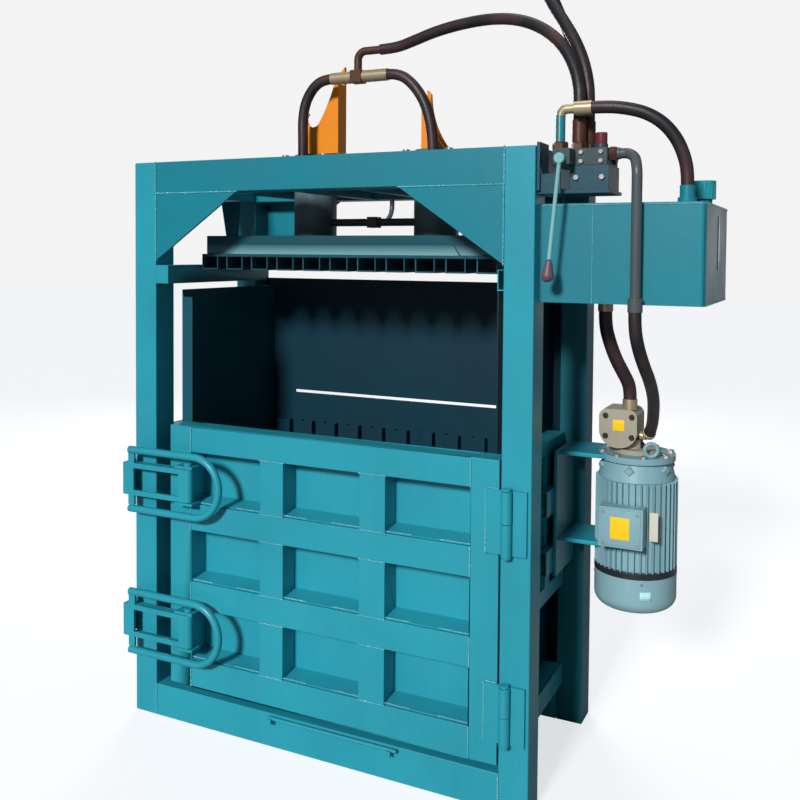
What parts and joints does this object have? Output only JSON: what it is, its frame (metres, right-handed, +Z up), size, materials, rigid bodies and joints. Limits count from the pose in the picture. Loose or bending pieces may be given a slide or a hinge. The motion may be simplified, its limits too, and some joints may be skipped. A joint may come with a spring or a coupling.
{
  "type": "recycling baler",
  "caption": "Upright hydraulic baler with a ribbed front door, swing latches, a comb platen under telescopic cylinders, and an oil tank, lever valve and motor at its side.",
  "frame": {"origin": "on the floor, at the middle of the frame's footprint", "axes": "+X to the right of a person at the door, +Y to the back, +Z up"},
  "size_m": [1.988, 0.778, 2.6238],
  "materials": {
    "teal_paint": "gloss machine enamel",
    "floor_steel": "scuffed dark enamel",
    "zinc": "zinc plated",
    "cylinder_grey": "satin enamel",
    "yellow_paint": "gloss enamel",
    "chrome_rod": "hard chrome, polished",
    "teal_plastic": "moulded",
    "motor_grey": "satin enamel",
    "dark_steel": "oiled",
    "pump_cast": "painted casting",
    "valve_cast": "bare casting",
    "red_cap": "gloss",
    "pipe_paint": "satin",
    "hose_rubber": "ribbed cover"
  },
  "bodies": {
    "frame": {"corner_gussets": "teal_paint", "cylinder_barrels": "cylinder_grey", "cylinder_bearers": "teal_paint", "cylinder_brackets": "yellow_paint", "fan_cowl": "motor_grey", "flange_bolts": "zinc", "floor_bearers": "teal_paint", "floor_plate": "floor_steel", "floor_ribs": "teal_paint", "hose_cylinder_feed": "hose_rubber", "hose_cylinder_left": "hose_rubber", "hose_cylinder_right": "hose_rubber", "hose_fittings": "zinc", "hose_pressure": "hose_rubber", "hose_return_line": "hose_rubber", "hose_suction": "hose_rubber", "hose_tank": "hose_rubber", "motor_frame": "motor_grey", "motor_mount": "teal_paint", "mount_plate": "teal_paint", "post_hinges": "teal_paint", "posts_front": "teal_paint", "posts_rear": "teal_paint", "pump": "pump_cast", "rear_slats": "teal_paint", "rear_wall": "teal_paint", "side_rails": "teal_paint", "sill_bar": "teal_paint", "sills": "teal_paint", "steel_pipes": "pipe_paint", "tank_lid": "teal_paint", "tank_shell": "teal_paint", "terminal_box": "motor_grey", "top_beams_long": "teal_paint", "top_beams_side": "teal_paint", "valve_body": "valve_cast", "valve_mount": "dark_steel", "wall_left": "teal_paint", "wall_right": "teal_paint"},
    "platen": {"platen_comb": "teal_paint", "platen_plate": "teal_paint", "platen_rails": "teal_paint", "piston_rods": "chrome_rod"},
    "outer_sleeves": {"outer_sleeves": "chrome_rod"},
    "inner_sleeves": {"inner_sleeves": "chrome_rod"},
    "door": {"door_skin": "teal_paint", "door_frame": "teal_paint", "door_hinge_leaves": "teal_paint", "latch_pivots": "teal_paint"},
    "upper_latch": {"latch_hook_upper": "teal_paint", "latch_handle_upper": "teal_paint"},
    "lower_latch": {"latch_hook_lower": "teal_paint", "latch_handle_lower": "teal_paint"},
    "valve_lever": {"valve_lever": "teal_paint"},
    "valve_spool": {"valve_spool": "chrome_rod"},
    "relief_cap": {"relief_cap": "red_cap"},
    "filler_cap": {"filler_cap": "teal_plastic"},
    "rotor": {"motor_rotor": "dark_steel", "pump_coupling": "dark_steel"}
  },
  "joints": [
    {"name": "platen_slide", "type": "slide", "parent": "frame", "child": "platen", "axis": [0, 0, -1], "range_m": [0, 0.9]},
    {"name": "outer_sleeve_slide", "type": "slide", "parent": "frame", "child": "outer_sleeves", "axis": [0, 0, -1], "range_m": [0, 0.3]},
    {"name": "inner_sleeve_slide", "type": "slide", "parent": "outer_sleeves", "child": "inner_sleeves", "axis": [0, 0, -1], "range_m": [0, 0.3]},
    {"name": "door_swing", "type": "hinge", "parent": "frame", "child": "door", "pos_m": [0.68, -0.38, 0.6], "axis": [0, 0, 1], "range_deg": [0, 110]},
    {"name": "upper_latch_swing", "type": "hinge", "parent": "door", "child": "upper_latch", "pos_m": [-0.488, -0.388, 0.865], "axis": [0, 0, 1], "range_deg": [0, 14]},
    {"name": "lower_latch_swing", "type": "hinge", "parent": "door", "child": "lower_latch", "pos_m": [-0.488, -0.388, 0.35], "axis": [0, 0, 1], "range_deg": [0, 14]},
    {"name": "lever_swing", "type": "hinge", "parent": "frame", "child": "valve_lever", "pos_m": [0.83, -0.39, 1.956], "axis": [0, 1, 0], "range_deg": [-15, 15], "stiffness_Nm_per_rad": 6},
    {"name": "spool_slide", "type": "slide", "parent": "frame", "child": "valve_spool", "axis": [1, 0, 0], "range_m": [-0.008, 0.008]},
    {"name": "relief_cap_turn", "type": "hinge", "parent": "frame", "child": "relief_cap", "pos_m": [0.926, -0.295, 2.01], "axis": [0, 0, 1], "continuous": true},
    {"name": "filler_cap_turn", "type": "hinge", "parent": "frame", "child": "filler_cap", "pos_m": [1.175, -0.03, 1.88], "axis": [0, 0, 1], "continuous": true},
    {"name": "rotor_spin", "type": "hinge", "parent": "frame", "child": "rotor", "pos_m": [0.951, 0.158, 0.8], "axis": [0, 0, 1], "continuous": true}
  ],
  "couplings": [
    {"joint": "outer_sleeve_slide", "follows": "platen_slide", "ratio": 0.33333},
    {"joint": "inner_sleeve_slide", "follows": "platen_slide", "ratio": 0.33333},
    {"joint": "spool_slide", "follows": "lever_swing", "m_per_rad": 0.03}
  ]
}
